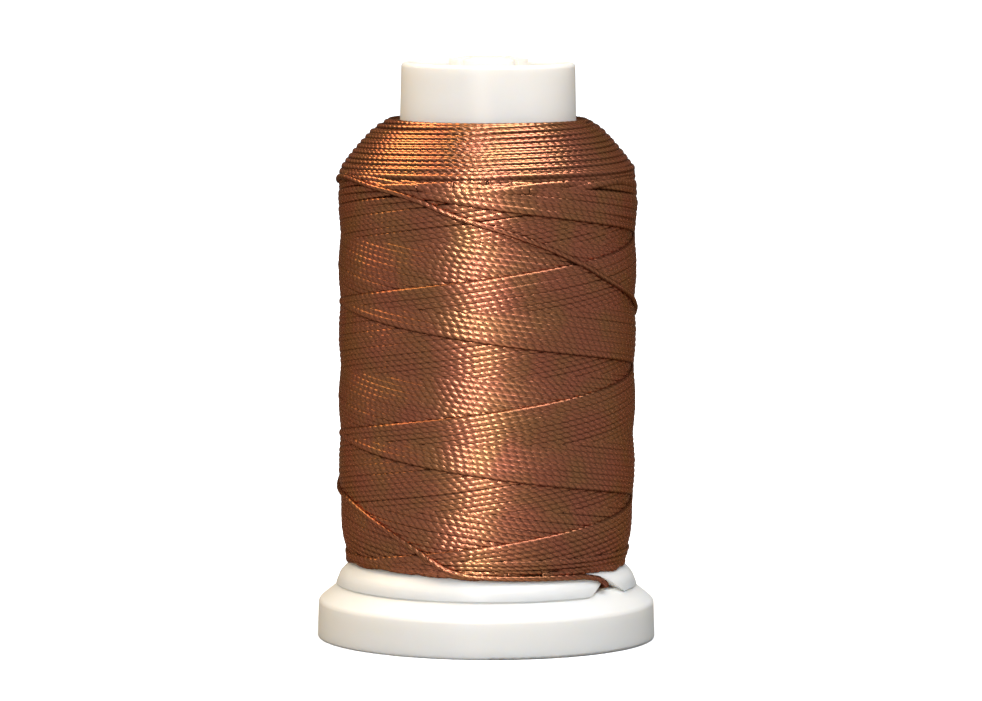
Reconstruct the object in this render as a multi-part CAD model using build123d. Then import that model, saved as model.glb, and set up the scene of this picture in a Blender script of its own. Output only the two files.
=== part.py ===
from build123d import *
from math import ceil, cos, radians, sin, sqrt, tan
import os

# A spool of thick twisted thread for hand sewing and leatherwork.
# A moulded barrel with a bell-shaped lower flange carries the cross-wound thread.
# A separate foot with a long hollow stem snaps up through the barrel. The foot slides
# down a little to open a ring-shaped gap under the bell, which holds the end of the thread.
# Millimetres, +Z up. The origin is on the spool's axis, in the plane the foot stands on.
# Angles about the axis are counted from the front (-Y) towards +X.

# ---------------------------------------------------------------- driving sizes: foot
foot_radius = 20.5              # skirt, where it meets the table
skirt_draft = 0.15              # the skirt leans in this much up to its shoulder
foot_shoulder_height = 4.65     # where the conical seat begins
foot_seat_angle = 39.0          # slope of the conical seat under the bell
foot_seat_rise = 2.35           # from the shoulder up to the flat deck inside the seat
foot_wall = 1.4
foot_shoulder_round = 0.8
foot_edge_round = 0.35
foot_boss_radius = 5.8          # ring round the bore under the deck
foot_rib_count = 8
foot_rib_thickness = 1.0
foot_rib_lift = 0.8             # ribs end above the table

# ---------------------------------------------------------------- driving sizes: stem
pin_bore_radius = 2.7           # clears a sewing machine's spool pin
stem_radius = 4.2
head_stand = 0.75               # the snap head's top, above the barrel's rim
head_radius = 4.8               # snap head
head_length = 5.5
head_dome_radius = 24.0
head_slit_count = 4
head_slit_width = 0.8
head_slit_depth = 14.0
bore_countersink = 0.5
stem_root_round = 0.6

# ---------------------------------------------------------------- driving sizes: barrel
rim_height = 69.85
collar_radius = 10.5            # outside, at the rim
barrel_draft = 1.2              # degrees
barrel_wall = 1.2
rim_round = 0.5
bell_cone_angle = 45.0
bell_inset = 1.95               # the lip's edge stands this far inside the foot's shoulder
bell_flare = 0.65               # the lip flares out this much below the bell's shoulder
bell_rise = 1.72                # from the lip's edge up to the bell's shoulder
bell_shoulder_round = 2.0
bell_root_round = 3.0
lip_round = 0.12
sleeve_wall = 1.1
sleeve_lift = 1.3               # the sleeve ends this far above the foot's deck
barrel_rib_count = 6
barrel_rib_thickness = 0.9
barrel_rib_lift = 8.0           # and the ribs this far
rim_recess = 1.3                # ribs and sleeve end this far under the rim
rib_embed = 0.3                 # how far a rib runs into the wall that carries it

# ---------------------------------------------------------------- driving sizes: catch
catch_travel = 2.5              # how far the foot drops to open the gap
stem_clearance = 0.06           # radial, stem in sleeve and head in counterbore
seat_clearance = 0.05           # lip over seat, and head over step at full travel
notch_angle = 54.5              # where the thread end goes in
notch_half_angle = 12.0         # half of the notch's width at the lip
notch_rise = 1.92               # top of the notch, above the lip's edge
notch_round = 0.4

# ---------------------------------------------------------------- driving sizes: thread
thread_diameter = 0.63
thread_gap = 0.03               # last turn over the wound body
winding_overhang = 0.3          # full radius, over the bell's shoulder
winding_undercut = 1.7          # the lower edge is this much smaller
winding_undercut_round = 0.6
winding_bulge = 0.95            # the radius grows by this much ...
winding_bulge_rise = 1.8        # ... in this height above the lower edge
winding_bulge_round = 2.5
winding_waist_rise = 7.6        # full radius from here, above the lower edge ...
winding_waist_round = 8.0
winding_shoulder_drop = 13.55   # ... up to here, below the rim
winding_brow_inset = 0.65       # upper cone's lower end
winding_brow_drop = 12.15
winding_brow_round = 1.6
winding_crown_width = 3.1       # upper cone's top end, outside the collar
winding_crown_drop = 7.7
winding_crown_round = 2.0
winding_peak_width = 1.0        # highest point, outside the collar
winding_peak_drop = 6.75
winding_peak_round = 0.7
winding_collar_drop = 7.15      # where the thread meets the collar

# The last turn: angle round the spool, and height as a share of the way from the
# winding's lower edge to its shoulder.
last_turn_stations = [
    (-79.0, 1.015), (-50.0, 0.994), (-26.0, 0.951), (-14.0, 0.919), (8.0, 0.874), (25.0, 0.832),
    (38.0, 0.793), (52.0, 0.748), (74.0, 0.695), (110.0, 0.610), (190.0, 0.405), (270.0, 0.192),
    (291.0, 0.171), (312.0, 0.124), (330.0, 0.068),
]
last_turn_step_angle = 15.0     # largest angle between two corners of its path
arc_share = 0.45                # of the shorter run beside a corner, taken by its arc

# The thread's end, along the lower edge of the winding and down into the notch: angle,
# then radius and height from the bell's shoulder in thread diameters. No radius: on the winding.
tail_stations = [
    (337.0, None, 5.4), (343.5, -0.56, 3.64), (351.0, -1.12, 2.53), (0.0, -1.12, 2.18),
    (12.0, -1.04, 1.98), (24.0, -0.93, 1.85), (36.0, -0.77, 1.69), (46.0, -0.4, 1.34),
    (51.5, 0.06, 0.71), (54.6, 0.0, -0.48), (55.4, -1.67, -0.67), (59.5, -3.17, -0.79),
    (66.0, -3.81, -0.92), (74.0, -3.97, -0.92),
]

# ---------------------------------------------------------------- sizes that follow
seat_slope = tan(radians(foot_seat_angle))
foot_shoulder_radius = foot_radius - skirt_draft
foot_deck_height = foot_shoulder_height + foot_seat_rise
deck_radius = foot_shoulder_radius - foot_seat_rise / seat_slope
stem_top = rim_height + head_stand
head_bottom = stem_top - head_length
sleeve_step = head_bottom - catch_travel - seat_clearance
sleeve_bore = stem_radius + stem_clearance
counterbore = head_radius + stem_clearance
inner_top = rim_height - rim_recess
lip_radius = foot_shoulder_radius - bell_inset
lip_height = foot_shoulder_height + bell_inset * seat_slope + seat_clearance
bell_shoulder_radius = lip_radius - bell_flare
bell_shoulder_height = lip_height + bell_rise
thread_radius = thread_diameter / 2
winding_radius = bell_shoulder_radius + winding_overhang
winding_low_radius = winding_radius - winding_undercut


def seat_height(radius):
    """Height of the foot's conical seat at a radius."""
    return foot_shoulder_height + (foot_shoulder_radius - radius) * seat_slope


def around(radius, angle, height):
    """A point from its radius, angle from the front and height."""
    turn = radians(angle)
    return Vector(radius * sin(turn), -radius * cos(turn), height)


def section(corners):
    """A closed half section in the XZ plane from (radius, height, fillet) corners."""
    outline = Polyline(*[(radius, height) for radius, height, _ in corners], close=True)
    face = make_face(outline)
    for radius, height, fillet_radius in corners:
        if fillet_radius:
            corner = face.vertices().sort_by_distance((radius, height))[0]
            face = fillet(corner, fillet_radius)
    return Plane.XZ * face


def turned(corners):
    """The solid of revolution of a half section."""
    return revolve(section(corners), Axis.Z)


def rib_ring(outline, thickness, count, first_angle=0.0):
    """Equal radial ribs, each a plate with the given outline in the XZ plane."""
    plate = extrude(section([(r, z, 0) for r, z in outline]), thickness / 2, both=True)
    step = 360.0 / count
    return [Rot(0, 0, first_angle + step * i) * plate for i in range(count)]


# ---------------------------------------------------------------- barrel
def barrel_lines(inset):
    """The rim and root corners of the barrel's wall at a depth under its skin, and its cone.

    The cone is given as its height on the axis: it falls bell_cone_angle outwards from there.
    """
    draft = tan(radians(barrel_draft))
    cone = tan(radians(bell_cone_angle))
    cone_apex = bell_shoulder_height + bell_shoulder_radius * cone
    cone_apex -= inset / cos(radians(bell_cone_angle))
    rim_radius = collar_radius - inset
    # The tube's radius grows downwards by its draft, until it meets the cone.
    root_height = (cone_apex - cone * (rim_radius + rim_height * draft)) / (1 - cone * draft)
    root_radius = rim_radius + (rim_height - root_height) * draft
    return (rim_radius, rim_height), (root_radius, root_height), cone_apex


def lip_corners():
    """The lip's edge: its outer corner, the deck corner and the inner corner."""
    deck = foot_deck_height + seat_clearance
    _, _, inner_apex = barrel_lines(barrel_wall)
    inner_radius = (inner_apex - deck) / tan(radians(bell_cone_angle))
    inner_radius = min(inner_radius, deck_radius - barrel_wall / 4)
    return (lip_radius, lip_height), (deck_radius, deck), (inner_radius, deck)


def notch_cutter():
    """A V-shaped cut through the bell's lip, with a rounded top."""
    half_width = lip_radius * sin(radians(notch_half_angle))
    # Twice the notch's height and width, so that the cut opens well below the lip.
    mouth = make_face(Polyline(
        (-2 * half_width, lip_height - notch_rise), (2 * half_width, lip_height - notch_rise),
        (0, lip_height + notch_rise + notch_round), close=True))
    mouth = fillet(mouth.vertices().sort_by(Axis.Y)[-1], notch_round)
    prism = extrude(Plane.XZ * mouth, lip_radius + foot_radius)
    inner_guard = Cylinder(deck_radius - 2 * barrel_wall, 2 * rim_height)
    return Rot(0, 0, notch_angle) * (prism - inner_guard)


def make_barrel():
    sleeve_bottom = foot_deck_height + sleeve_lift
    rib_bottom = foot_deck_height + barrel_rib_lift
    rim, root, _ = barrel_lines(0)
    inner_rim, inner_root, _ = barrel_lines(barrel_wall)
    lip, lip_over_deck, inner_lip = lip_corners()
    shell = turned([
        (*rim, rim_round), (*root, bell_root_round),
        (bell_shoulder_radius, bell_shoulder_height, bell_shoulder_round), (*lip, lip_round),
        (*lip_over_deck, 0), (*inner_lip, 0),
        (*inner_root, bell_root_round + barrel_wall), (*inner_rim, rim_round),
    ])
    sleeve = turned([
        (sleeve_bore, sleeve_bottom, 0), (sleeve_bore + sleeve_wall, sleeve_bottom, 0),
        (sleeve_bore + sleeve_wall, sleeve_step - sleeve_wall, 0),
        (counterbore + sleeve_wall, sleeve_step - sleeve_wall / 2, 0),
        (counterbore + sleeve_wall, inner_top, 0),
        (counterbore, inner_top, 0), (counterbore, sleeve_step, 0), (sleeve_bore, sleeve_step, 0),
    ])
    draft = tan(radians(barrel_draft))
    middle = collar_radius - barrel_wall + rib_embed
    ribs = rib_ring([
        (sleeve_bore + sleeve_wall - rib_embed, rib_bottom),
        (middle + (rim_height - rib_bottom) * draft, rib_bottom),
        (middle + (rim_height - inner_top) * draft, inner_top),
        (counterbore + sleeve_wall - rib_embed, inner_top),
        (counterbore + sleeve_wall - rib_embed, sleeve_step),
        (sleeve_bore + sleeve_wall - rib_embed, sleeve_step - sleeve_wall),
    ], barrel_rib_thickness, barrel_rib_count, first_angle=30.0)
    barrel = shell + sleeve
    for rib in ribs:
        barrel = barrel + rib
    return barrel - notch_cutter()


# ---------------------------------------------------------------- snap foot
def make_foot():
    wall_drop = foot_wall / cos(radians(foot_seat_angle))
    skirt_inside = foot_shoulder_radius - foot_wall
    under_deck = foot_deck_height - foot_wall
    under_seat = seat_height(skirt_inside) - wall_drop
    under_deck_radius = skirt_inside - (under_deck - under_seat) / seat_slope
    shell = turned([
        (foot_radius, 0, foot_edge_round),
        (foot_shoulder_radius, foot_shoulder_height, foot_shoulder_round),
        (deck_radius, foot_deck_height, 0), (stem_radius, foot_deck_height, stem_root_round),
        (stem_radius, head_bottom, 0), (head_radius, head_bottom, 0),
        (head_radius, stem_top, 0), (pin_bore_radius, stem_top, 0),
        (pin_bore_radius, bore_countersink, 0), (pin_bore_radius + bore_countersink, 0, 0),
        (foot_boss_radius, 0, 0), (foot_boss_radius, under_deck, 0),
        (under_deck_radius, under_deck, 0), (skirt_inside, under_seat, 0), (skirt_inside, 0, 0),
    ])
    dome_drop = head_dome_radius - sqrt(head_dome_radius ** 2 - pin_bore_radius ** 2)
    dome_centre = stem_top + dome_drop - head_dome_radius
    above_head = Pos(0, 0, stem_top) * Cylinder(2 * head_radius, head_length)
    shell = shell - (above_head - Pos(0, 0, dome_centre) * Sphere(head_dome_radius))
    slit = Pos(0, 0, stem_top) * Box(3 * head_radius, head_slit_width, 2 * head_slit_depth)
    for i in range(head_slit_count // 2):
        shell = shell - Rot(0, 0, 45 + 360 / head_slit_count * i) * slit
    ribs = rib_ring([
        (foot_boss_radius - rib_embed, foot_rib_lift), (skirt_inside + rib_embed, foot_rib_lift),
        (skirt_inside + rib_embed, under_seat), (under_deck_radius, under_deck + rib_embed),
        (foot_boss_radius - rib_embed, under_deck + rib_embed),
    ], foot_rib_thickness, foot_rib_count, first_angle=22.5)
    for rib in ribs:
        shell = shell + rib
    return shell


# ---------------------------------------------------------------- thread
def bell_cone_at(radius):
    """Height of the bell's outer cone at a radius."""
    return bell_shoulder_height + (bell_shoulder_radius - radius) * tan(radians(bell_cone_angle))


winding_low = bell_cone_at(winding_low_radius)
winding_shoulder = rim_height - winding_shoulder_drop
winding_corners = [
    (winding_low_radius, winding_low, winding_undercut_round),
    (winding_low_radius + winding_bulge, winding_low + winding_bulge_rise, winding_bulge_round),
    (winding_radius, winding_low + winding_waist_rise, winding_waist_round),
    (winding_radius, winding_shoulder, winding_brow_round),
    (winding_radius - winding_brow_inset, rim_height - winding_brow_drop, winding_brow_round),
    (collar_radius + winding_crown_width, rim_height - winding_crown_drop, winding_crown_round),
    (collar_radius + winding_peak_width, rim_height - winding_peak_drop, winding_peak_round),
]


def winding_surface(height):
    """Radius of the wound body at a height on its side, between its corners."""
    for (low_radius, low, _), (high_radius, high, _) in zip(winding_corners, winding_corners[1:]):
        if low <= height <= high:
            return low_radius + (high_radius - low_radius) * (height - low) / (high - low)
    return winding_low_radius


def make_winding():
    rim, root, _ = barrel_lines(0)
    lip, _, _ = lip_corners()
    inner = collar_radius / 2
    collar = rim_height - winding_collar_drop
    outline = [(inner, bell_cone_at(inner), 0), *winding_corners]
    outline += [(collar_radius, collar, 0), (inner, collar, 0)]
    core = [(0, 0, 0), (lip_radius, 0, 0), (*lip, 0),
            (bell_shoulder_radius, bell_shoulder_height, bell_shoulder_round),
            (*root, bell_root_round), (*rim, 0), (0, rim_height, 0)]
    return revolve(section(outline) - section(core), Axis.Z)


def tube(points, radius):
    """A thread along straight runs joined by tangent arcs, its tightest arc and its length."""
    arcs = []
    for before, here, after in zip(points, points[1:], points[2:]):
        turn = radians((here - before).get_angle(after - here))
        shorter = min((here - before).length, (after - here).length)
        arcs.append(arc_share * shorter / tan(turn / 2))
    path = FilletPolyline(*points, radius=arcs)
    profile = Plane(path @ 0, z_dir=path % 0) * Circle(radius)
    return sweep(profile, path=path), min(arcs), path.length


def on_winding(angle, height):
    """A corner of the thread's path, far enough out for the runs beside it to clear the winding."""
    lift = thread_radius + thread_gap
    radius = (winding_surface(height) + lift) / cos(radians(last_turn_step_angle / 2))
    return around(radius, angle, height)


def last_turn_points():
    """Corners of the last turn, from the upper shoulder down to the lower edge."""
    stations = [(angle, winding_low + share * (winding_shoulder - winding_low))
                for angle, share in last_turn_stations]
    points = []
    for (angle, height), (next_angle, next_height) in zip(stations, stations[1:]):
        parts = ceil((next_angle - angle) / last_turn_step_angle)
        for i in range(parts):
            share = i / parts
            points.append(on_winding(angle + (next_angle - angle) * share,
                                     height + (next_height - height) * share))
    points.append(on_winding(*stations[-1]))
    return points


def tail_points():
    """Corners of the thread's end, from the last turn down into the notch."""
    points = [last_turn_points()[-1]]
    for angle, out, up in tail_stations:
        height = bell_shoulder_height + up * thread_diameter
        if out is None:
            points.append(on_winding(angle, height))
        else:
            points.append(around(bell_shoulder_radius + out * thread_diameter, angle, height))
    return points


# ---------------------------------------------------------------- write the nodes
os.makedirs("parts", exist_ok=True)
last_turn, last_turn_bend, last_turn_length = tube(last_turn_points(), thread_radius)
tail, tail_bend, tail_length = tube(tail_points(), thread_radius)
print(f"last turn {last_turn_length:.1f} mm, tightest arc {last_turn_bend:.1f} mm")
print(f"tail {tail_length:.1f} mm, tightest arc {tail_bend:.2f} mm")
nodes = {
    "spool_barrel": make_barrel(),
    "snap_foot": make_foot(),
    "wound_thread": make_winding(),
    "last_turn": last_turn,
    "thread_tail": tail,
}
for name, shape in nodes.items():
    shape.label = name
    export_step(shape, f"parts/{name}.step")
    print(f"{name}: {shape.volume:.2f} mm3")
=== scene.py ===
import math

import bpy
import numpy as np
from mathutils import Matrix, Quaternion, Vector


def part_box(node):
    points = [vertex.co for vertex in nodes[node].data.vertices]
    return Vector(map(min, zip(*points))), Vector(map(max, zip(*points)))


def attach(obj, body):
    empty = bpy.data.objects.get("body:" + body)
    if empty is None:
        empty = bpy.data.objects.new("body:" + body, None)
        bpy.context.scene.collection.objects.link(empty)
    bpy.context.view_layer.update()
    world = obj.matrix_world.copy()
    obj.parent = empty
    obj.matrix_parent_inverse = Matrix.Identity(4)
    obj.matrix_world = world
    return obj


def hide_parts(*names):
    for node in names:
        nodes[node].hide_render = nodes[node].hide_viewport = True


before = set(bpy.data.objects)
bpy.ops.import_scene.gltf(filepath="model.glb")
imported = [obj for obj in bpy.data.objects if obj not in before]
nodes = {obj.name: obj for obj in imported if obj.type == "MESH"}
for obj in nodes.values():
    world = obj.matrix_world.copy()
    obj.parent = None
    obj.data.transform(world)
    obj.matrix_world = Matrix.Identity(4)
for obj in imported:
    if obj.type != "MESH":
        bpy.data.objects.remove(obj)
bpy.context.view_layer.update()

mm = 0.001


# ---------------------------------------------------------------- camera
# A long lens, a little above the spool's middle and looking slightly down on it.
camera_distance = 690 * mm
camera_height = 99.5 * mm
aim = Vector((0.46 * mm, 0.0, 34.9 * mm))
lens_length = 209.6
camera_roll = math.radians(0.22)

camera_data = bpy.data.cameras.new("camera")
camera_data.lens = lens_length
camera_data.sensor_width = 36.0
camera_data.clip_start = 0.05
camera_data.clip_end = 20.0
camera = bpy.data.objects.new("camera", camera_data)
camera.location = (aim.x, -camera_distance, camera_height)
camera.rotation_euler = (
    (aim - camera.location).to_track_quat("-Z", "Y") @ Quaternion((0.0, 0.0, 1.0), camera_roll)).to_euler()
bpy.context.scene.collection.objects.link(camera)
bpy.context.scene.camera = camera
bpy.context.scene.view_settings.view_transform = "Standard"


# ---------------------------------------------------------------- light and floor
# A plain pale table under studio light: a narrow strip in front, soft boxes high up, two warm
# ones on the left, and a dim white room all round.
lamp_distance = 0.9
studio_white = (1.0, 0.99, 0.97)
warm_white = (1.0, 0.74, 0.41)
spool_middle = Vector((0.0, 0.0, 35 * mm))


def soft_box(name, azimuth, height, width, tall, power, colour):
    """A rectangular lamp that faces the spool; azimuth and height are degrees, from the front to +X."""
    data = bpy.data.lights.new(name, "AREA")
    data.shape = "RECTANGLE"
    data.size = width
    data.size_y = tall
    data.energy = power
    data.color = colour
    lamp = bpy.data.objects.new(name, data)
    turn = math.radians(azimuth)
    rise = math.radians(height)
    lamp.location = spool_middle + lamp_distance * Vector(
        (math.sin(turn) * math.cos(rise), -math.cos(turn) * math.cos(rise), math.sin(rise)))
    lamp.rotation_euler = (spool_middle - lamp.location).to_track_quat("-Z", "Y").to_euler()
    bpy.context.scene.collection.objects.link(lamp)


soft_box("front_strip", -8.5, 24.0, 0.05, 0.75, 4.3, (1.0, 0.98, 0.97))
soft_box("high_front_box", 20.0, 62.0, 0.35, 0.35, 3.2, studio_white)
soft_box("high_right_box", 76.0, 66.0, 0.35, 0.35, 3.6, studio_white)
soft_box("high_left_box", -90.0, 62.0, 0.35, 0.35, 2.1, warm_white)
soft_box("back_left_box", -112.0, 46.0, 0.35, 0.35, 3.1, warm_white)

world = bpy.data.worlds.new("room")
bpy.context.scene.world = world
world.use_nodes = True
tree = world.node_tree
tree.nodes.clear()
sight = tree.nodes.new("ShaderNodeLightPath")
room = tree.nodes.new("ShaderNodeBackground")
room.inputs["Color"].default_value = (1.0, 0.98, 0.95, 1.0)
room.inputs["Strength"].default_value = 0.24
backdrop = tree.nodes.new("ShaderNodeBackground")
backdrop.inputs["Color"].default_value = (1.0, 1.0, 1.0, 1.0)
backdrop.inputs["Strength"].default_value = 1.0
seen = tree.nodes.new("ShaderNodeMixShader")
target = tree.nodes.new("ShaderNodeOutputWorld")
tree.links.new(sight.outputs["Is Camera Ray"], seen.inputs[0])
tree.links.new(room.outputs[0], seen.inputs[1])
tree.links.new(backdrop.outputs[0], seen.inputs[2])
tree.links.new(seen.outputs[0], target.inputs["Surface"])

floor_reach = 4.0
floor_mesh = bpy.data.meshes.new("floor")
floor_mesh.from_pydata(
    [(-floor_reach, -floor_reach, 0), (floor_reach, -floor_reach, 0),
     (floor_reach, floor_reach, 0), (-floor_reach, floor_reach, 0)], [], [(0, 1, 2, 3)])
floor = bpy.data.objects.new("floor", floor_mesh)
bpy.context.scene.collection.objects.link(floor)

# The camera sees a pale table that grows white away from the spool. All else sees a dark one
# with a paler patch in front of the spool, so that the threads do not mirror a white table.
pale_tone = 0.86
dark_tone = 0.2
patch_tone = 0.65
patch_sides = (34 * mm, 8 * mm)         # to either side: where the patch starts and is full
patch_front = (-24 * mm, -44 * mm)      # and towards the front
white_from = (30 * mm, 110 * mm)        # where the glow starts and is full
white_glow = (0.34, 1.1)

floor_paint = bpy.data.materials.new("pale_table")
floor_paint.use_nodes = True
tree = floor_paint.node_tree
target = tree.nodes["Material Output"]
place = tree.nodes.new("ShaderNodeTexCoord")

table = tree.nodes["Principled BSDF"]
table.inputs["Roughness"].default_value = 0.9
table.inputs["Specular IOR Level"].default_value = 0.0
patch_place = tree.nodes.new("ShaderNodeSeparateXYZ")
patch_side = tree.nodes.new("ShaderNodeMath")
patch_side.operation = "ABSOLUTE"
across_patch = tree.nodes.new("ShaderNodeMapRange")
across_patch.interpolation_type = "SMOOTHSTEP"
across_patch.inputs["From Min"].default_value = patch_sides[0]
across_patch.inputs["From Max"].default_value = patch_sides[1]
along_patch = tree.nodes.new("ShaderNodeMapRange")
along_patch.inputs["From Min"].default_value = patch_front[0]
along_patch.inputs["From Max"].default_value = patch_front[1]
on_patch = tree.nodes.new("ShaderNodeMath")
on_patch.operation = "MULTIPLY"
table_tone = tree.nodes.new("ShaderNodeMapRange")
table_tone.inputs["To Min"].default_value = dark_tone
table_tone.inputs["To Max"].default_value = patch_tone
tree.links.new(place.outputs["Object"], patch_place.inputs[0])
tree.links.new(patch_place.outputs["X"], patch_side.inputs[0])
tree.links.new(patch_side.outputs[0], across_patch.inputs["Value"])
tree.links.new(patch_place.outputs["Y"], along_patch.inputs["Value"])
tree.links.new(across_patch.outputs[0], on_patch.inputs[0])
tree.links.new(along_patch.outputs[0], on_patch.inputs[1])
tree.links.new(on_patch.outputs[0], table_tone.inputs["Value"])
tree.links.new(table_tone.outputs[0], table.inputs["Base Color"])

pale = tree.nodes.new("ShaderNodeBsdfDiffuse")
pale.inputs["Color"].default_value = (pale_tone, pale_tone, pale_tone, 1.0)
pale.inputs["Roughness"].default_value = 0.9
away = tree.nodes.new("ShaderNodeVectorMath")
away.operation = "LENGTH"
glow_level = tree.nodes.new("ShaderNodeMapRange")
glow_level.interpolation_type = "SMOOTHSTEP"
glow_level.inputs["From Min"].default_value = white_from[0]
glow_level.inputs["From Max"].default_value = white_from[1]
glow_level.inputs["To Min"].default_value = white_glow[0]
glow_level.inputs["To Max"].default_value = white_glow[1]
glow = tree.nodes.new("ShaderNodeEmission")
glow.inputs["Color"].default_value = (0.9, 1.0, 1.1, 1.0)
lift = tree.nodes.new("ShaderNodeAddShader")
tree.links.new(place.outputs["Object"], away.inputs[0])
tree.links.new(away.outputs["Value"], glow_level.inputs["Value"])
tree.links.new(glow_level.outputs[0], glow.inputs["Strength"])
tree.links.new(pale.outputs[0], lift.inputs[0])
tree.links.new(glow.outputs[0], lift.inputs[1])

sight = tree.nodes.new("ShaderNodeLightPath")
seen = tree.nodes.new("ShaderNodeMixShader")
tree.links.new(sight.outputs["Is Camera Ray"], seen.inputs[0])
tree.links.new(table.outputs[0], seen.inputs[1])
tree.links.new(lift.outputs[0], seen.inputs[2])
tree.links.new(seen.outputs[0], target.inputs["Surface"])
floor_mesh.materials.append(floor_paint)


# ---------------------------------------------------------------- foot with its snap stem
# The base and its long hollow stem are one moulding of white polypropylene. It snaps up
# through the barrel and slides down a little to open the gap that holds the thread's end.
def plastic_skin():
    """Moulded plastic: faint flow marks and a very fine satin grain, as values and a normal."""
    group = bpy.data.node_groups.new("moulded_skin", "ShaderNodeTree")
    for name, kind, value in (("Colour", "NodeSocketColor", (0.9, 0.9, 0.88, 1.0)),
                              ("Shade", "NodeSocketColor", (0.86, 0.85, 0.82, 1.0)),
                              ("Flow Size", "NodeSocketFloat", 90.0),
                              ("Grain Size", "NodeSocketFloat", 2200.0),
                              ("Gloss", "NodeSocketFloat", 0.36)):
        socket = group.interface.new_socket(name=name, in_out="INPUT", socket_type=kind)
        socket.default_value = value
    for name, kind in (("Colour", "NodeSocketColor"), ("Roughness", "NodeSocketFloat"),
                       ("Normal", "NodeSocketVector")):
        group.interface.new_socket(name=name, in_out="OUTPUT", socket_type=kind)
    start = group.nodes.new("NodeGroupInput")
    end = group.nodes.new("NodeGroupOutput")
    place = group.nodes.new("ShaderNodeTexCoord")
    flow = group.nodes.new("ShaderNodeTexNoise")
    flow.inputs["Detail"].default_value = 2.0
    grain = group.nodes.new("ShaderNodeTexNoise")
    grain.inputs["Detail"].default_value = 3.0
    tint = group.nodes.new("ShaderNodeMix")
    tint.data_type = "RGBA"
    rough = group.nodes.new("ShaderNodeMath")
    rough.operation = "MULTIPLY_ADD"
    rough.inputs[1].default_value = 0.12
    bumps = group.nodes.new("ShaderNodeBump")
    bumps.inputs["Strength"].default_value = 0.12
    bumps.inputs["Distance"].default_value = 0.02 * mm
    link = group.links.new
    link(place.outputs["Object"], flow.inputs["Vector"])
    link(place.outputs["Object"], grain.inputs["Vector"])
    link(start.outputs["Flow Size"], flow.inputs["Scale"])
    link(start.outputs["Grain Size"], grain.inputs["Scale"])
    link(flow.outputs["Fac"], tint.inputs["Factor"])
    link(start.outputs["Colour"], tint.inputs["A"])
    link(start.outputs["Shade"], tint.inputs["B"])
    link(tint.outputs["Result"], end.inputs["Colour"])
    link(flow.outputs["Fac"], rough.inputs[0])
    link(start.outputs["Gloss"], rough.inputs[2])
    link(rough.outputs[0], end.inputs["Roughness"])
    link(grain.outputs["Fac"], bumps.inputs["Height"])
    link(bumps.outputs["Normal"], end.inputs["Normal"])
    return group


moulded_skin = plastic_skin()


def white_plastic(name, flow_size, gloss):
    material = bpy.data.materials.new(name)
    material.use_nodes = True
    tree = material.node_tree
    skin = tree.nodes.new("ShaderNodeGroup")
    skin.node_tree = moulded_skin
    skin.inputs["Flow Size"].default_value = flow_size
    skin.inputs["Gloss"].default_value = gloss
    shader = tree.nodes["Principled BSDF"]
    shader.inputs["IOR"].default_value = 1.49
    shader.inputs["Subsurface Weight"].default_value = 0.7
    shader.inputs["Subsurface Radius"].default_value = (1.0, 0.85, 0.7)
    shader.inputs["Subsurface Scale"].default_value = 3.0 * mm
    tree.links.new(skin.outputs["Colour"], shader.inputs["Base Color"])
    tree.links.new(skin.outputs["Roughness"], shader.inputs["Roughness"])
    tree.links.new(skin.outputs["Normal"], shader.inputs["Normal"])
    return material


def refinish(node, material):
    """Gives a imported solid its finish."""
    slots = nodes[node].data.materials
    slots.clear()
    slots.append(material)


refinish("snap_foot", white_plastic("foot_plastic", 70.0, 0.34))


# ---------------------------------------------------------------- barrel
# A thin ribbed tube with a bell-shaped lower flange, moulded in the same white plastic.
# It carries the thread and snaps over the foot's stem.
refinish("spool_barrel", white_plastic("barrel_plastic", 95.0, 0.3))


# ---------------------------------------------------------------- wound thread
# One long three-ply brown thread, cross-wound to and fro at high tension. Each stroke lies
# beside the one a full cycle before, so that bands of rising and of falling turns alternate.
thread_diameter = 0.63 * mm
thread_radius = thread_diameter / 2
ply_lead = 2.95 * mm            # length of one full twist
stroke_lead = 16.0 * mm         # rise in one turn of the spool
cycles_per_layer = 25
turns_per_cycle = 6
laid_cycles = 32
last_crown_angle = math.radians(-85.0)   # where the last rising stroke turns back
crown_height_at = 56.9 * mm     # where the straight strokes would meet, at the upper end
crown_ease = (0.10, 0.50)       # radians over which the strokes turn round, upper end
skirt_ease = (0.08, 0.30)       # and lower end
settle = 0.1                    # seat of a thread on the ones it crosses, in thread radii
stray = 0.035 * mm              # unevenness of the strokes' spacing
pack_slack = 0.08 * mm          # a crossing may stand this much over the winding's level
full_radius = 0.35 * mm         # of the drawn thread: side by side, the threads press flat
pressed_wide = 1.5              # and so much wider than thick
proud = 0.34 * mm               # the newest stroke's axis, over the outline less a thread's radius

bell_cone_foot = 25.75 * mm      # the bell falls at 45 degrees: radius plus height on its cone
high_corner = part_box("wound_thread")[1]
winding_radius = high_corner.x
winding_top = high_corner.z
winding_low = winding_top - 53.64 * mm
winding_shoulder = winding_low + 46.9 * mm
outline_height = np.array([-1.5, 0.0, 0.6, 1.8, 3.6, 5.6, 7.8, 46.2, 47.4, 48.3, 52.7]) * mm + winding_low
outline_radius = winding_radius - np.array(
    [2.6, 1.7, 1.3, 0.9, 0.57, 0.3, 0.1, 0.0, 0.15, 0.6, 4.4]) * mm


def outline(height):
    """Outer radius of the wound body at a height."""
    return np.interp(height, outline_height, outline_radius)


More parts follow.
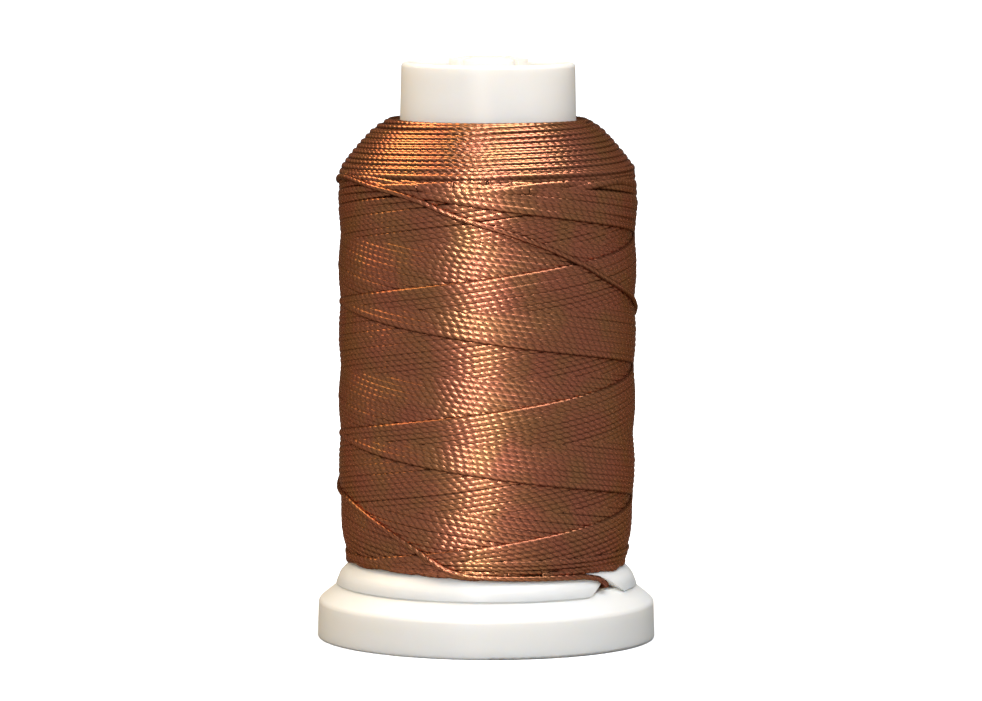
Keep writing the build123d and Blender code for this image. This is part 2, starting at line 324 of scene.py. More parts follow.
# The surface under the next stroke, as a map of radius by height and angle.
map_columns = 600
map_row = 0.05 * mm
map_low = winding_low - 1.2 * mm
map_rows = int((winding_shoulder + 4.0 * mm - map_low) / map_row)
row_reach = int(thread_radius / map_row) + 1
seat_reach = int(0.6 * thread_radius / map_row)
row_heights = map_low + map_row * np.arange(map_rows)
layer_growth = (1 + settle) * thread_radius
rise_per_radian = stroke_lead / (2 * math.pi)
stroke_turn = (turns_per_cycle - 1 / cycles_per_layer) * math.pi
skirt_height_at = crown_height_at - rise_per_radian * stroke_turn
first_crown = last_crown_angle - laid_cycles * 2 * stroke_turn
wound_depth = 2 * layer_growth * laid_cycles / cycles_per_layer
# Older strokes lie lower, so the surface falls from the newest stroke of each set to the oldest.
angle_grid = 2 * math.pi * np.arange(map_columns) / map_columns
rising_front = skirt_height_at + rise_per_radian * (angle_grid - first_crown + stroke_turn)
falling_front = crown_height_at - rise_per_radian * (angle_grid - first_crown)
rising_age = (rising_front[None, :] - row_heights[:, None]) / stroke_lead % 1.0
falling_age = (row_heights[:, None] - falling_front[None, :]) / stroke_lead % 1.0
surface = (outline(row_heights) + proud - wound_depth)[:, None] - layer_growth * (rising_age + falling_age)


def pulled_tight(reach, height):
    """The tightest line over the bumps under a stroke: it spans the hollows between them."""
    reach, height = reach.tolist(), height.tolist()
    touch = [0]
    for i in range(1, len(reach)):
        while len(touch) > 1:
            before, here = touch[-2], touch[-1]
            rise = (height[i] - height[before]) * (reach[here] - reach[before])
            if (height[here] - height[before]) * (reach[i] - reach[before]) > rise:
                break
            touch.pop()
        touch.append(i)
    return np.interp(reach, [reach[i] for i in touch], [height[i] for i in touch])


def map_place(turned, height):
    """Column and row of the map under each station."""
    column = np.round(turned / (2 * math.pi) * map_columns).astype(int) % map_columns
    row = np.round((height - map_low) / map_row).astype(int)
    return column, np.clip(row, row_reach, map_rows - 1 - row_reach)


def lay(turned, height, ceiling, start_radius=None):
    """Lays a stroke on the map: its axis radius at each station, given angle and height."""
    column, row = map_place(turned, height)
    under = np.max([surface[row + k, column] for k in range(-seat_reach, seat_reach + 1)], axis=0)
    seat = np.minimum(under + settle * thread_radius, ceiling)
    # The lowest turns rest on the bell's cone.
    seat = np.maximum(seat, bell_cone_foot - height + math.sqrt(2) * thread_radius)
    if start_radius is not None:
        seat[:4] = start_radius
    reach = turned * winding_radius
    bend = (reach - reach[0]) ** 2 / (2 * winding_radius)
    radius = pulled_tight(reach, seat - bend) + bend
    for k in range(-row_reach, row_reach + 1):
        across = row_heights[row + k] - height
        top = radius + np.sqrt(np.maximum(thread_radius ** 2 - across ** 2, 0.0))
        inside = np.abs(across) < thread_radius
        np.maximum.at(surface, ((row + k)[inside], column[inside]), top[inside])
    return radius


chance = np.random.default_rng(7)
stations = int(1.02 * stroke_turn / (2 * math.pi) * map_columns)
along = np.linspace(0.0, stroke_turn, stations)


def wander(count):
    """Slow unevenness along a stroke."""
    waves = [np.sin(along * chance.uniform(0.4, 2.2) + chance.uniform(0, 6.3)) for _ in range(3)]
    return stray * sum(waves) / 1.7


strokes = []
end_radius = None
last_low_ease, last_high_ease = skirt_ease[0], crown_ease[0]
for stroke in range(2 * laid_cycles + 1):
    rising = stroke % 2 == 0
    until_last = (2 * laid_cycles - stroke) // 2 if rising else (2 * laid_cycles - stroke + 1) // 2
    crown = last_crown_angle - until_last * 2 * stroke_turn
    if rising:
        turned = crown - stroke_turn + along
        from_skirt, from_crown = along, stroke_turn - along
    else:
        turned = crown + along
        from_skirt, from_crown = stroke_turn - along, along
    low_ease = skirt_ease[0] + skirt_ease[1] * chance.random()
    high_ease = crown_ease[0] + crown_ease[1] * chance.random()
    if rising:
        low_ease = last_low_ease
    else:
        high_ease = last_high_ease
    last_low_ease, last_high_ease = low_ease, high_ease
    climb = np.hypot(from_skirt, low_ease) - np.hypot(from_crown, high_ease) + from_crown
    height = skirt_height_at + rise_per_radian * climb + wander(stations)
    # A crossing packs down no higher than the winding grows there on the whole.
    age = (2 * laid_cycles - stroke) / 2 / cycles_per_layer
    crossed = (crown_height_at - height) if rising else (height - skirt_height_at)
    crossed_age = (2 * crossed / stroke_lead) % 1.0
    level = outline(height) + proud - thread_radius - layer_growth * (2 * age + crossed_age)
    radius = lay(turned, height, level + pack_slack, end_radius)
    end_radius = radius[-1]
    strokes.append((turned, height, radius))


# Each kept stretch of thread becomes three plies twisted together, twelve points to a ring.
ply_shape = [(0.0, 1.0), (35.0, 0.97), (60.0, 0.87), (85.0, 0.97)]
ring_angle = np.radians([120.0 * ply + turn for ply in range(3) for turn, _ in ply_shape])
ring_reach = np.array([reach for _ in range(3) for _, reach in ply_shape])
ring_points = len(ring_angle)


def twisted(centre, outward, start=0.0, wide=pressed_wide):
    """Rings of points round a thread's axis, and their place along and round it."""
    forward = np.gradient(centre, axis=0)
    step = np.linalg.norm(forward, axis=1)
    forward /= step[:, None]
    outward = outward - forward * np.sum(outward * forward, axis=1)[:, None]
    outward /= np.linalg.norm(outward, axis=1)[:, None]
    upward = wide * np.cross(outward, forward)
    length = start + np.concatenate([[0.0], np.cumsum((step[1:] + step[:-1]) / 2)])
    turn = ring_angle[None, :] - 2 * math.pi * length[:, None] / ply_lead
    reach = full_radius * ring_reach[None, :, None]
    rings = centre[:, None, :] + reach * (
        np.cos(turn)[..., None] * outward[:, None, :] + np.sin(turn)[..., None] * upward[:, None, :])
    return rings, length, turn


def on_spool(turned, height, radius):
    """Points and outward directions round the spool; angles count from the front towards +X."""
    outward = np.stack([np.sin(turned), -np.cos(turned), np.zeros_like(turned)], axis=1)
    centre = outward * radius[:, None]
    centre[:, 2] = height
    return centre, outward


def thread_mesh(name, stretches):
    """One mesh of closed twisted tubes; its maps hold the bake's layout and the fibres' run."""
    points, quads, caps, place = [], [], [], []
    base = 0
    for rings, length, turn in stretches:
        count = len(rings)
        index = base + np.arange(count * ring_points).reshape(count, ring_points)
        beside = np.roll(index, -1, axis=1)
        quads.append(np.stack([index[:-1], index[1:], beside[1:], beside[:-1]], axis=-1).reshape(-1, 4))
        caps += [index[0], index[-1][::-1]]
        around = np.concatenate([turn, turn[:, :1] + 2 * math.pi], axis=1) / (2 * math.pi)
        far = np.repeat(length[:, None], ring_points + 1, axis=1) / mm
        fibre = np.stack([far, around], axis=-1)
        place.append(np.stack([fibre[:-1, :-1], fibre[1:, :-1], fibre[1:, 1:], fibre[:-1, 1:]],
                              axis=2).reshape(-1, 4, 2))
        points.append(rings.reshape(-1, 3))
        base += count * ring_points
    points, quads, place = np.concatenate(points), np.concatenate(quads), np.concatenate(place)
    caps = np.array(caps)
    mesh = bpy.data.meshes.new(name)
    mesh.vertices.add(len(points))
    mesh.vertices.foreach_set("co", points.astype(np.float32).ravel())
    corners = np.concatenate([quads.ravel(), caps.ravel()])
    sides = np.concatenate([np.full(len(quads), 4), np.full(len(caps), ring_points)])
    mesh.loops.add(len(corners))
    mesh.loops.foreach_set("vertex_index", corners.astype(np.int32))
    mesh.polygons.add(len(sides))
    mesh.polygons.foreach_set("loop_start", np.concatenate([[0], np.cumsum(sides)[:-1]]).astype(np.int32))
    mesh.polygons.foreach_set("use_smooth", np.ones(len(sides), bool))
    mesh.update(calc_edges=True)
    # The bake's layout: the rings side by side in rows of about square cells.
    segments = len(quads) // ring_points
    row_length = max(1, int(math.sqrt(segments * ring_points)))
    rows = segments // row_length + 1
    segment = np.repeat(np.arange(segments), ring_points)
    slot = np.tile(np.arange(ring_points), segments)
    corner_u = (segment % row_length)[:, None] + np.array([0, 1, 1, 0])[None, :]
    corner_v = (segment // row_length * ring_points + slot)[:, None] + np.array([0, 0, 1, 1])[None, :]
    layout = np.stack([corner_u / row_length, corner_v / (rows * ring_points)], axis=-1)
    cap_fill = np.zeros((len(caps) * ring_points, 2))
    mesh.uv_layers.new(name="OFBake").uv.foreach_set(
        "vector", np.concatenate([layout.reshape(-1, 2), cap_fill]).astype(np.float32).ravel())
    mesh.uv_layers.new(name="fibre").uv.foreach_set(
        "vector", np.concatenate([place.reshape(-1, 2), cap_fill]).astype(np.float32).ravel())
    piece = bpy.data.objects.new(name, mesh)
    bpy.context.scene.collection.objects.link(piece)
    return piece


# Only what shows is kept: a station shows if its upper side reaches the finished surface.
show_depth = 0.2 * mm
keep_beyond = 5
rings_per_piece = 7900


def showing(turned, height, radius):
    column, row = map_place(turned, height)
    shows = np.zeros(len(turned), bool)
    for k in range(-row_reach, row_reach + 1):
        across = row_heights[row + k] - height
        top = radius + np.sqrt(np.maximum(thread_radius ** 2 - across ** 2, 0.0))
        shows |= (np.abs(across) < thread_radius) & (top > surface[row + k, column] - show_depth)
    wide = np.convolve(shows, np.ones(2 * keep_beyond + 1), "same") > 0
    return wide


def runs(mask):
    """Start and end of each unbroken run of kept stations."""
    edges = np.flatnonzero(np.diff(np.concatenate([[0], mask.astype(int), [0]])))
    return [(a, b) for a, b in zip(edges[::2], edges[1::2]) if b - a > 3]


wound = []
batch, batch_rings = [], 0
run_length = 0.0
for turned, height, radius in strokes[-5 * cycles_per_layer:]:
    kept = runs(showing(turned, height, radius))
    centre, outward = on_spool(turned, height, radius)
    rings, length, turn = twisted(centre, outward, run_length)
    run_length = length[-1]
    for a, b in kept:
        batch.append((rings[a:b], length[a:b], turn[a:b]))
        batch_rings += b - a
    if batch_rings > rings_per_piece - 1200:
        wound.append(thread_mesh(f"wound_thread_{len(wound) + 1}", batch))
        batch, batch_rings = [], 0
if batch:
    wound.append(thread_mesh(f"wound_thread_{len(wound) + 1}", batch))


# Lustrous brown thread: fine fibres run along each ply, and the dye wanders a little
# between a redder and an olive brown. Shade is painted into the colour on the flanks and in the grooves.
shoulder_slope_from = (55 * mm, 58.5 * mm)   # heights between which the wound surface leans back
shoulder_slope = 1.05                        # rise of its outward direction there
flank_facing = (0.8, 0.96)                   # how far a surface with full painted shade and one with none face outwards
# painted shade on a thread's flanks, as a factor on its colour
flank_shade_tone = 0.4
groove_from = (0.5, 0.28)                    # distance from a ply's ridge, in ply spacings
# painted shade in the groove between two plies, as a factor on its colour
groove_shade_tone = 0.5


def thread_fibres_and_shade():
    group = bpy.data.node_groups.new("thread_fibres_and_shade", "ShaderNodeTree")
    for name, kind, value in (("Brown", "NodeSocketColor", (0.56, 0.216, 0.115, 1.0)),
                              ("Red Brown", "NodeSocketColor", (0.59, 0.205, 0.122, 1.0)),
                              ("Olive Brown", "NodeSocketColor", (0.53, 0.232, 0.108, 1.0)),
                              ("Dye Size", "NodeSocketFloat", 260.0),
                              ("Fibre Depth", "NodeSocketFloat", 0.35),
                              ("Gloss", "NodeSocketFloat", 0.2)):
        socket = group.interface.new_socket(name=name, in_out="INPUT", socket_type=kind)
        socket.default_value = value
    for name, kind in (("Colour", "NodeSocketColor"), ("Roughness", "NodeSocketFloat"),
                       ("Normal", "NodeSocketVector")):
        group.interface.new_socket(name=name, in_out="OUTPUT", socket_type=kind)
    start = group.nodes.new("NodeGroupInput")
    end = group.nodes.new("NodeGroupOutput")
    place = group.nodes.new("ShaderNodeTexCoord")
    dye = group.nodes.new("ShaderNodeTexNoise")
    dye.inputs["Detail"].default_value = 1.0
    run = group.nodes.new("ShaderNodeUVMap")
    run.uv_map = "fibre"
    stretch = group.nodes.new("ShaderNodeMapping")
    stretch.inputs["Scale"].default_value = (1.6, 26.0, 1.0)
    fibre = group.nodes.new("ShaderNodeTexNoise")
    fibre.inputs["Scale"].default_value = 1.0
    fibre.inputs["Detail"].default_value = 3.0
    redder = group.nodes.new("ShaderNodeMix")
    redder.data_type = "RGBA"
    olive = group.nodes.new("ShaderNodeMix")
    olive.data_type = "RGBA"
    reds = group.nodes.new("ShaderNodeMapRange")
    reds.inputs["From Min"].default_value = 0.48
    reds.inputs["From Max"].default_value = 0.7
    olives = group.nodes.new("ShaderNodeMapRange")
    olives.inputs["From Min"].default_value = 0.5
    olives.inputs["From Max"].default_value = 0.3
    streak = group.nodes.new("ShaderNodeMix")
    streak.data_type = "RGBA"
    streak.blend_type = "MULTIPLY"
    streak.inputs["Factor"].default_value = 1.0
    tone = group.nodes.new("ShaderNodeMapRange")
    tone.inputs["From Min"].default_value = 0.3
    tone.inputs["From Max"].default_value = 0.7
    tone.inputs["To Min"].default_value = 0.8
    tone.inputs["To Max"].default_value = 1.15
    rough = group.nodes.new("ShaderNodeMath")
    rough.operation = "MULTIPLY_ADD"
    rough.inputs[1].default_value = 0.12
    bumps = group.nodes.new("ShaderNodeBump")
    bumps.inputs["Distance"].default_value = 0.03 * mm
    # Painted shade darkens the colour where a thread's flank turns away from the wound surface ...
    flat = group.nodes.new("ShaderNodeVectorMath")
    flat.operation = "MULTIPLY"
    flat.inputs[1].default_value = (1.0, 1.0, 0.0)
    spread = group.nodes.new("ShaderNodeVectorMath")
    spread.operation = "NORMALIZE"
    where = group.nodes.new("ShaderNodeSeparateXYZ")
    slope = group.nodes.new("ShaderNodeMapRange")
    slope.inputs["From Min"].default_value = shoulder_slope_from[0]
    slope.inputs["From Max"].default_value = shoulder_slope_from[1]
    slope.inputs["To Max"].default_value = shoulder_slope
    tilt = group.nodes.new("ShaderNodeCombineXYZ")
    facing = group.nodes.new("ShaderNodeVectorMath")
    facing.operation = "ADD"
    straight = group.nodes.new("ShaderNodeVectorMath")
    straight.operation = "NORMALIZE"
    turned_out = group.nodes.new("ShaderNodeVectorMath")
    turned_out.operation = "DOT_PRODUCT"
    flank = group.nodes.new("ShaderNodeMapRange")
    flank.inputs["From Min"].default_value = flank_facing[0]
    flank.inputs["From Max"].default_value = flank_facing[1]
    flank.inputs["To Min"].default_value = flank_shade_tone
    # ... and in the groove between two plies.
    ply_place = group.nodes.new("ShaderNodeSeparateXYZ")
    along_ply = group.nodes.new("ShaderNodeMath")
    along_ply.operation = "MULTIPLY_ADD"
    along_ply.inputs[1].default_value = mm / ply_lead
    thirds = group.nodes.new("ShaderNodeMath")
    thirds.operation = "MULTIPLY"
    thirds.inputs[1].default_value = 3.0
    from_ply = group.nodes.new("ShaderNodeMath")
    from_ply.operation = "PINGPONG"
    from_ply.inputs[1].default_value = 0.5
    groove = group.nodes.new("ShaderNodeMapRange")
    groove.inputs["From Min"].default_value = groove_from[0]
    groove.inputs["From Max"].default_value = groove_from[1]
    groove.inputs["To Min"].default_value = groove_shade_tone
    shade = group.nodes.new("ShaderNodeMath")
    shade.operation = "MULTIPLY"
    shaded = group.nodes.new("ShaderNodeMix")
    shaded.data_type = "RGBA"
    shaded.blend_type = "MULTIPLY"
    shaded.inputs["Factor"].default_value = 1.0
    link = group.links.new
    link(place.outputs["Object"], flat.inputs[0])
    link(flat.outputs[0], spread.inputs[0])
    link(place.outputs["Object"], where.inputs[0])
    link(where.outputs["Z"], slope.inputs["Value"])
    link(slope.outputs[0], tilt.inputs["Z"])
    link(spread.outputs[0], facing.inputs[0])
    link(tilt.outputs[0], facing.inputs[1])
    link(facing.outputs[0], straight.inputs[0])
    link(straight.outputs[0], turned_out.inputs[0])
    link(place.outputs["Normal"], turned_out.inputs[1])
    link(turned_out.outputs["Value"], flank.inputs["Value"])
    link(run.outputs[0], ply_place.inputs[0])
    link(ply_place.outputs["X"], along_ply.inputs[0])
    link(ply_place.outputs["Y"], along_ply.inputs[2])
    link(along_ply.outputs[0], thirds.inputs[0])
    link(thirds.outputs[0], from_ply.inputs[0])
    link(from_ply.outputs[0], groove.inputs["Value"])
    # painted shade: the flank and groove factors multiply the thread's colour
    link(flank.outputs[0], shade.inputs[0])
    link(groove.outputs[0], shade.inputs[1])
    link(streak.outputs["Result"], shaded.inputs["A"])
    link(shade.outputs[0], shaded.inputs["B"])
    link(place.outputs["Object"], dye.inputs["Vector"])
    link(start.outputs["Dye Size"], dye.inputs["Scale"])
    link(dye.outputs["Fac"], reds.inputs["Value"])
    link(dye.outputs["Fac"], olives.inputs["Value"])
    link(reds.outputs[0], redder.inputs["Factor"])
    link(start.outputs["Brown"], redder.inputs["A"])
    link(start.outputs["Red Brown"], redder.inputs["B"])
    link(olives.outputs[0], olive.inputs["Factor"])
    link(redder.outputs["Result"], olive.inputs["A"])
    link(start.outputs["Olive Brown"], olive.inputs["B"])
    link(run.outputs[0], stretch.inputs["Vector"])
    link(stretch.outputs[0], fibre.inputs["Vector"])
    link(fibre.outputs["Fac"], tone.inputs["Value"])
    link(olive.outputs["Result"], streak.inputs["A"])
    link(tone.outputs[0], streak.inputs["B"])
    link(shaded.outputs["Result"], end.inputs["Colour"])
    link(fibre.outputs["Fac"], rough.inputs[0])
    link(start.outputs["Gloss"], rough.inputs[2])
    link(rough.outputs[0], end.inputs["Roughness"])
    link(fibre.outputs["Fac"], bumps.inputs["Height"])
    link(start.outputs["Fibre Depth"], bumps.inputs["Strength"])
    link(bumps.outputs["Normal"], end.inputs["Normal"])
    return group


fibres = thread_fibres_and_shade()


def brown_thread(name):
    material = bpy.data.materials.new(name)
    material.use_nodes = True
    tree = material.node_tree
    lie = tree.nodes.new("ShaderNodeGroup")
    lie.node_tree = fibres
    shader = tree.nodes["Principled BSDF"]
    shader.inputs["Metallic"].default_value = 0.9
    shader.inputs["Specular Tint"].default_value = (0.6, 0.4, 0.3, 1.0)
    tree.links.new(lie.outputs["Colour"], shader.inputs["Base Color"])
    tree.links.new(lie.outputs["Roughness"], shader.inputs["Roughness"])
    tree.links.new(lie.outputs["Normal"], shader.inputs["Normal"])
    return material


wound_finish = brown_thread("wound_brown_thread")
for piece in wound:
    piece.data.materials.append(wound_finish)
    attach(piece, "barrel")
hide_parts("wound_thread")


# ---------------------------------------------------------------- shoulder coils
# The ends of the lower layers: a few threads rise side by side in nearly level coils from the
# body's shoulder to the collar. One more coil lies over where they start, two close the hollow
# under it, and two lie against the collar.
shoulder_radius = winding_radius - np.array(
    [0.0, 0.05, 0.2, 0.64, 1.45, 2.65, 3.85, 5.05, 6.25, 7.0, 7.5]) * mm
shoulder_height = winding_top - np.array([7.3, 6.6, 5.9, 5.3, 4.2, 2.8, 1.5, 0.55, 0.02, 0.1, 0.35]) * mm
coil_rise = 0.6 * mm            # from one coil to the next
coil_starts = 4                 # threads that rise side by side
coil_dive = 0.7 * mm            # a coil comes up from under its neighbours over this much rise
coil_sink = 0.55 * mm
coil_climb = 13.0 * mm          # height that a coil climbs, with what is cut off at both ends
coil_lead_in = 1.5 * mm         # of it, this much lies under where the coils show
coil_start = 0.7 * mm           # the coils start this much over the shoulder's foot
coil_wide = 1.4                 # flattened by this much
coil_end_dive = 3 * mm          # length over which an end dives out of sight
coil_top_dive = 4 * mm          # and at the collar
crown_radius = 11.0 * mm        # of the coils against the collar
crown_reach = math.radians(374.0)
coil_step = math.radians(0.7)
shoulder_run = np.concatenate([[0.0], np.cumsum(
    np.hypot(np.diff(shoulder_radius), np.diff(shoulder_height)))])
edge_angles = np.radians([-102.0, -74.0, -22.0, 24.0, 77.0, 180.0, 222.0, 258.0])
edge_rise = np.array([0.0, 0.25, 0.5, 0.85, 0.95, 0.75, 0.45, 0.1]) * mm


def on_shoulder(turned, run, sunk):
    """A thread's rings on the shoulder's slope, at a depth under its surface."""
    soften = np.ones(31) / 31
    radius = np.convolve(np.pad(np.interp(run, shoulder_run, shoulder_radius), 15, "edge"), soften, "valid")
    height = np.convolve(np.pad(np.interp(run, shoulder_run, shoulder_height), 15, "edge"), soften, "valid")
    slope_r = np.gradient(np.interp(shoulder_run, shoulder_run, shoulder_radius), shoulder_run)
    slope_z = np.gradient(shoulder_height, shoulder_run)
    across = np.interp(run, shoulder_run, slope_z)
    down = np.interp(run, shoulder_run, slope_r)
    size = np.hypot(across, down)
    radius, height = radius - sunk * across / size, height + sunk * down / size
    return twisted(*on_spool(turned, height, radius), chance.uniform(0, 9) * mm, coil_wide)


def unevenness(turned, amount):
    """Slow wandering of a coil."""
    waves = [np.sin(turned * chance.uniform(0.5, 3.0) + chance.uniform(0, 6.3)) for _ in range(3)]
    return amount * sum(waves) / 1.7


def shoulder_coil(start, depth):
    """One rising coil, from under the lower one up to the collar."""
    turned = np.arange(0.0, coil_climb / (coil_rise * coil_starts) * 2 * math.pi, coil_step)
    rise = coil_rise * coil_starts * turned / (2 * math.pi) - coil_lead_in
    turned = turned + 2 * math.pi * start / coil_starts
    over = (turned - edge_angles[0]) % (2 * math.pi) + edge_angles[0]
    above = rise - np.interp(over, edge_angles, edge_rise)
    kept = (above > -0.1 * mm) & (shoulder_height[0] + rise + coil_start < shoulder_height[-3])
    turned, rise, above = turned[kept], rise[kept] + unevenness(turned[kept], 0.05 * mm), above[kept]
    run = np.interp(shoulder_height[0] + coil_start + rise, shoulder_height[:-2], shoulder_run[:-2])
    from_top = np.arange(len(run))[::-1] * coil_step * winding_radius
    hidden = (np.clip(1 - above / coil_dive, 0.0, 1.0) ** 2
              + np.clip(1 - from_top / coil_top_dive, 0.0, 1.0) ** 2)
    return on_shoulder(turned, run, full_radius + depth + coil_sink * hidden)


edge_turn = np.arange(edge_angles[0], edge_angles[-1], coil_step)
edge_start = np.interp(shoulder_height[0] + coil_start, shoulder_height[:-2], shoulder_run[:-2])
edge_run = np.interp(edge_turn, edge_angles, edge_rise) + edge_start + unevenness(edge_turn, 0.03 * mm)
edge_end = np.minimum(edge_turn - edge_turn[0], edge_turn[-1] - edge_turn) * winding_radius
edge_coil = on_shoulder(edge_turn, edge_run, 0.95 * full_radius + coil_sink * np.clip(
    1 - edge_end / coil_end_dive, 0.0, 1.0) ** 2)
crown_turn = np.arange(0.0, crown_reach, coil_step)
crown_end = np.minimum(crown_turn, crown_turn[-1] - crown_turn) * crown_radius
crown_coils = [on_shoulder(
    crown_turn + phase, np.full(len(crown_turn), at) + unevenness(crown_turn, 0.06 * mm),
    full_radius + coil_sink * np.clip(1 - crown_end / coil_end_dive, 0.0, 1.0) ** 2)
    for phase, at in ((2.4, shoulder_run[-3] - 0.1 * mm), (0.6, shoulder_run[-1] - 0.25 * mm))]
# Two more lie lower, in the hollow under the lowest coil.
hollow_turn = np.arange(0.0, 2 * math.pi, coil_step)
hollow_run = np.interp((hollow_turn - edge_angles[0]) % (2 * math.pi) + edge_angles[0], edge_turn, edge_run)
hollow_sink = 0.5 * mm
hollow_coils = [on_shoulder(hollow_turn, hollow_run - below, np.full(len(hollow_turn), hollow_sink))
                for below in (0.55 * mm, 1.1 * mm)]
upper_coils = [shoulder_coil(k, 0.0) for k in range(coil_starts)]
lower_coils = [shoulder_coil(k + 0.5, 0.14 * mm) for k in range(coil_starts)]
shoulder = [thread_mesh("shoulder_coils_1", upper_coils), thread_mesh("shoulder_coils_2", lower_coils),
            thread_mesh("shoulder_coils_3", [edge_coil] + crown_coils + hollow_coils)]
for piece in shoulder:
    piece.data.materials.append(wound_finish)
    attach(piece, "barrel")


# ---------------------------------------------------------------- lower edge coils
# Where the strokes turn back over the bell, a few threads run nearly level round the lower
# edge before they rise again. They lie on the ends of the strokes and close the edge.
# Of each: millimetres over the lower edge and inside the body's radius, where it starts and
# how far it reaches round, in radians.
skirt_coil_places = [(0.5, 1.4, 0.4, 6.2), (1.1, 1.2, 3.3, 5.4), (1.7, 1.02, 5.6, 4.6)]
skirt_tuck = 5 * mm             # length over which an end dives under the strokes
skirt_end_rise = 1.2 * mm       # and rises with them
skirt_wide = 1.2                # flattened by this much
skirt_coils = []
for up, inward, first, reach in skirt_coil_places:
    turned = np.arange(first, first + reach, coil_step)
    end = np.minimum(turned - turned[0], turned[-1] - turned) * winding_radius
    tuck = np.clip(1 - end / skirt_tuck, 0.0, 1.0) ** 2
    height = winding_low + up * mm + unevenness(turned, 0.07 * mm) + skirt_end_rise * tuck
    radius = winding_radius - inward * mm - coil_sink * tuck
    skirt_coils.append(twisted(*on_spool(turned, height, radius), chance.uniform(0, 9) * mm, skirt_wide))
skirt = thread_mesh("lower_edge_coils", skirt_coils)
skirt.data.materials.append(wound_finish)
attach(skirt, "barrel")


# ---------------------------------------------------------------- windings underneath
# Many older layers of the same thread fill the space down to the barrel. They show only in the gaps
# between the threads on top, so they are one closed body, its brown darkened as painted shade in those
# gaps.
under_depth = 0.9 * mm
under_heights = np.linspace(winding_low + 1.2 * mm, winding_shoulder, 24)
under_outer = [(outline(z) - under_depth, z) for z in under_heights]
under_outer += [(r - 0.6 * mm, z - 0.55 * mm) for r, z in zip(shoulder_radius[2:-2], shoulder_height[2:-2])]
under_inner = [(10.0 * mm, under_outer[-1][1]), (11.5 * mm, winding_low + 6.0 * mm)]
under_ring = under_outer + under_inner
under_sides = 144
under_points = [(r * math.sin(a), -r * math.cos(a), z)
                for a in (2 * math.pi * k / under_sides for k in range(under_sides)) for r, z in under_ring]
under_count = len(under_ring)
under_faces = [(here + i, there + i, there + (i + 1) % under_count, here + (i + 1) % under_count)
               for here, there in ((k * under_count, (k + 1) % under_sides * under_count)
                                   for k in range(under_sides)) for i in range(under_count)]
under_mesh = bpy.data.meshes.new("under_windings")
under_mesh.from_pydata(under_points, [], under_faces)
under_mesh.update()
under_windings = bpy.data.objects.new("under_windings", under_mesh)
bpy.context.scene.collection.objects.link(under_windings)

under_shaded_brown = bpy.data.materials.new("under_shaded_brown")
under_shaded_brown.use_nodes = True
tree = under_shaded_brown.node_tree
shader = tree.nodes["Principled BSDF"]
place = tree.nodes.new("ShaderNodeTexCoord")
bands = tree.nodes.new("ShaderNodeTexWave")
bands.bands_direction = "Z"
bands.inputs["Scale"].default_value = 320.0
bands.inputs["Distortion"].default_value = 0.6
shades = tree.nodes.new("ShaderNodeMix")
shades.data_type = "RGBA"
# very dark browns: the thread's colour darkened as painted shade for the deep gaps
shades.inputs["A"].default_value = (0.03, 0.011, 0.006, 1.0)
shades.inputs["B"].default_value = (0.09, 0.032, 0.016, 1.0)
shader.inputs["Roughness"].default_value = 0.7
shader.inputs["Specular IOR Level"].default_value = 0.2
tree.links.new(place.outputs["Object"], bands.inputs["Vector"])
tree.links.new(bands.outputs["Fac"], shades.inputs["Factor"])
tree.links.new(shades.outputs["Result"], shader.inputs["Base Color"])
under_mesh.materials.append(under_shaded_brown)
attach(under_windings, "barrel")


# ---------------------------------------------------------------- last turn and the thread's end
# The last rising stroke turns back at the top and crosses the front in one loose, steeper
# turn. Its end runs along the lower edge and is trapped in the notch between bell and foot.
last_turn_stations = [
    (-79.0, 0.997), (-50.0, 0.985), (-26.0, 0.951), (-14.0, 0.919), (8.0, 0.874), (25.0, 0.832),
    (38.0, 0.793), (52.0, 0.748), (74.0, 0.695), (110.0, 0.610), (190.0, 0.405), (270.0, 0.192),
    (291.0, 0.171), (312.0, 0.124), (330.0, 0.068),
]
bell_shoulder = Vector((winding_radius - 0.3 * mm, 0.0, 8.0 * mm))
thread_end_stations = [
    (337.0, None, 5.4), (343.5, -0.56, 3.64), (351.0, -1.12, 2.53), (360.0, -1.12, 2.18),
    (372.0, -1.04, 1.98), (384.0, -0.93, 1.85), (396.0, -0.77, 1.69), (406.0, -0.4, 1.34),
    (410.3, 0.06, 0.71), (413.2, 0.0, -0.48), (414.2, -1.67, -0.67), (418.5, -3.17, -0.79),
    (426.0, -3.81, -0.92), (434.0, -3.97, -0.92),
]


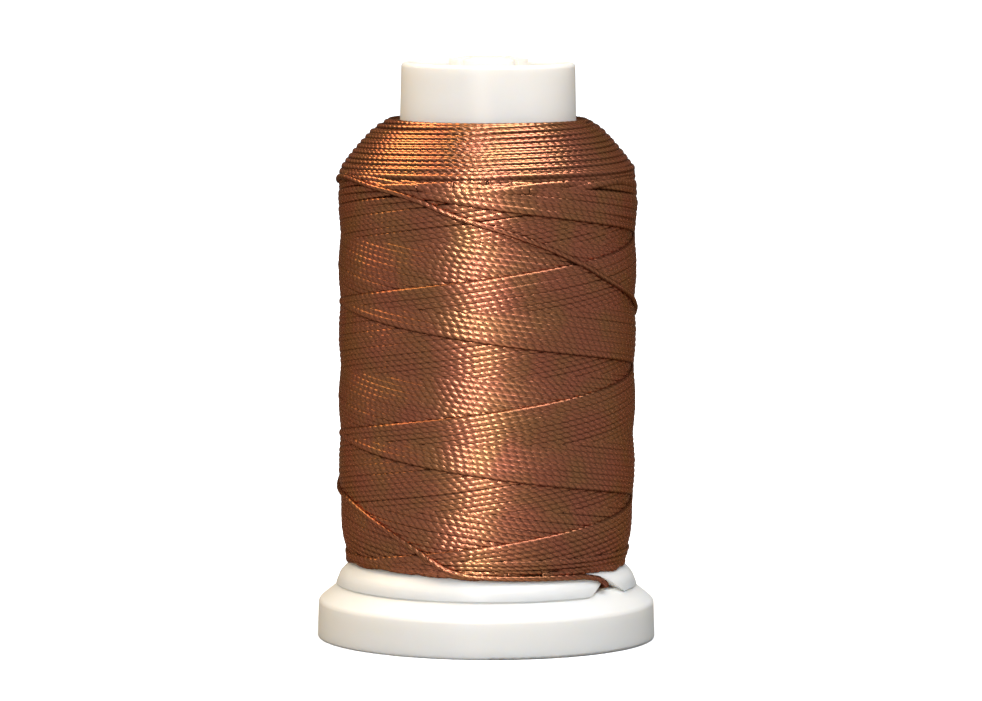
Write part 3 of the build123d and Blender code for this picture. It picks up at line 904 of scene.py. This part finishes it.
def smooth_through(at, known, values):
    """A smooth line through chosen stations, with each one's slope from its neighbours."""
    known, values = np.array(known), np.array(values)
    gaps = np.diff(known)
    slopes = np.diff(values) / gaps
    between = (slopes[:-1] * gaps[1:] + slopes[1:] * gaps[:-1]) / (gaps[1:] + gaps[:-1])
    at_station = np.concatenate([[slopes[0]], between, [slopes[-1]]])
    i = np.clip(np.searchsorted(known, at) - 1, 0, len(gaps) - 1)
    u = (at - known[i]) / gaps[i]
    return ((1 + 2 * u) * (1 - u) ** 2 * values[i] + u * (1 - u) ** 2 * gaps[i] * at_station[i]
            + u * u * (3 - 2 * u) * values[i + 1] + u * u * (u - 1) * gaps[i] * at_station[i + 1])


turn_angles = [math.degrees(last_crown_angle)] + [angle for angle, _ in last_turn_stations]
turn_heights = [strokes[-1][1][-1]] + [
    winding_low + share * (winding_shoulder - winding_low) for _, share in last_turn_stations]
end_angles = [angle for angle, _, _ in thread_end_stations]
end_heights = [bell_shoulder.z + up * thread_diameter for _, _, up in thread_end_stations]
all_angles = np.radians(turn_angles + end_angles)
turned = np.radians(np.arange(math.degrees(last_crown_angle), end_angles[-1], 0.5))
height = smooth_through(turned, all_angles, turn_heights + end_heights)
on_wound = turned <= math.radians(end_angles[0])
radius = np.empty_like(turned)
radius[on_wound] = lay(turned[on_wound], height[on_wound], np.inf, end_radius) + full_radius - thread_radius
guide = [i for i, (_, out, _) in enumerate(thread_end_stations) if out is not None]
join = np.flatnonzero(on_wound)[-1]
guide_angles = np.concatenate([turned[join - 8:join + 1:4], np.radians([end_angles[i] for i in guide])])
guide_radii = np.concatenate([radius[join - 8:join + 1:4], [
    bell_shoulder.x + thread_end_stations[i][1] * thread_diameter for i in guide]])
radius[~on_wound] = smooth_through(turned[~on_wound], guide_angles, guide_radii)
centre, outward = on_spool(turned, height, radius)
rings, length, turn = twisted(centre, outward, run_length, 1.0)
split = join
last_turn_piece = thread_mesh("loose_turn", [(rings[:split + 1], length[:split + 1], turn[:split + 1])])
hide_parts("last_turn")
thread_end = thread_mesh("thread_end", [(rings[split:], length[split:], turn[split:])])
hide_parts("thread_tail")
for piece in (last_turn_piece, thread_end):
    piece.data.materials.append(wound_finish)
    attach(piece, "barrel")
